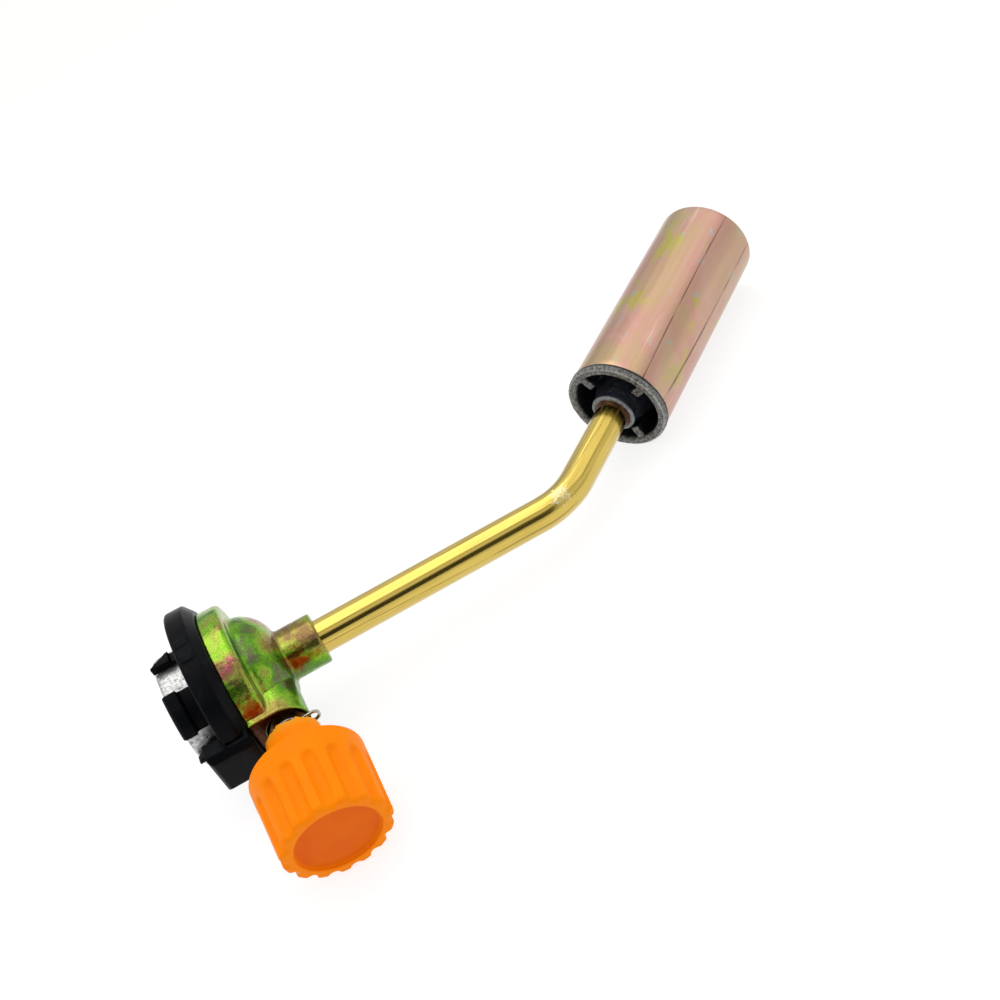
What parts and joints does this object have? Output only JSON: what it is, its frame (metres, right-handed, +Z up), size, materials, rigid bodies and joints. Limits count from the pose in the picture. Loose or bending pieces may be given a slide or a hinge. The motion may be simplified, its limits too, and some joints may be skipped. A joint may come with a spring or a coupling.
{
  "type": "blow torch head",
  "caption": "Hand blow torch head for a gas cartridge: bayonet collar, cast valve body with a fluted knob, bent brass pipe and a tubular burner.",
  "frame": {"origin": "centre of the collar's rear seat face, on the common axis of collar, valve body and gas pipe, where the cartridge meets the torch", "axes": "+X along the gas pipe's first straight run, away from the cartridge and towards the flame; +Z up, square to the plane of the pipe's bend, with the torch lying on its side; +Y the side that the pipe bends to, so the control knob points to -Y"},
  "size_m": [0.178, 0.1144, 0.0414],
  "materials": {
    "valve_casting": "yellow-chromated zinc die casting, iridescent green, olive, pink and brown",
    "collar_plastic": "near-black moulded plastic with a low satin sheen",
    "screw_steel": "zinc-plated pan-head screws",
    "ring_aluminium": "bright rough-turned aluminium, pitted",
    "seal_rubber": "black nitrile rubber",
    "pin_brass": "turned brass",
    "filter_bronze": "sintered bronze",
    "seat_nylon": "natural nylon",
    "spindle_brass": "turned brass",
    "nut_brass": "turned brass, darkened",
    "clip_steel": "bright spring-steel wire",
    "knob_plastic": "saturated orange moulded plastic, soft satin",
    "pipe_brass": "polished drawn brass tube, scuffed at the bend",
    "braze_metal": "heat-browned braze fillet",
    "burner_casting": "grey speckled die casting, blue-black inside",
    "jet_brass": "turned brass",
    "cone_steel": "dark pressed steel",
    "flame_tube_steel": "iridescent zinc-plated tube, pinkish tan with yellow-green patches"
  },
  "bodies": {
    "torch_body": {"valve_body": "valve_casting", "bayonet_collar": "collar_plastic", "collar_screws": "screw_steel", "inlet_ring": "ring_aluminium", "inlet_seal": "seal_rubber", "inlet_pin": "pin_brass", "inlet_filter": "filter_bronze", "valve_seat": "seat_nylon", "gland_nut": "nut_brass", "retaining_clip": "clip_steel", "gas_pipe": "pipe_brass", "braze_ring": "braze_metal", "burner_head": "burner_casting", "gas_jet": "jet_brass", "jet_filter": "filter_bronze", "mixing_cone": "cone_steel", "flame_holder": "cone_steel", "flame_tube": "flame_tube_steel"},
    "seal_carriage": {"spindle_seals": "seal_rubber"},
    "knob": {"knob": "knob_plastic", "spindle": "spindle_brass"}
  },
  "joints": [
    {"name": "spindle_feed", "type": "slide", "parent": "torch_body", "child": "seal_carriage", "axis": [0, -1, 0], "range_m": [0, 0.00113]},
    {"name": "knob_turn", "type": "hinge", "parent": "seal_carriage", "child": "knob", "pos_m": [0.013, 0, 0], "axis": [0, -1, 0], "range_deg": [0, 540]}
  ],
  "couplings": [
    {"joint": "spindle_feed", "follows": "knob_turn", "m_per_rad": 0.00011937}
  ]
}
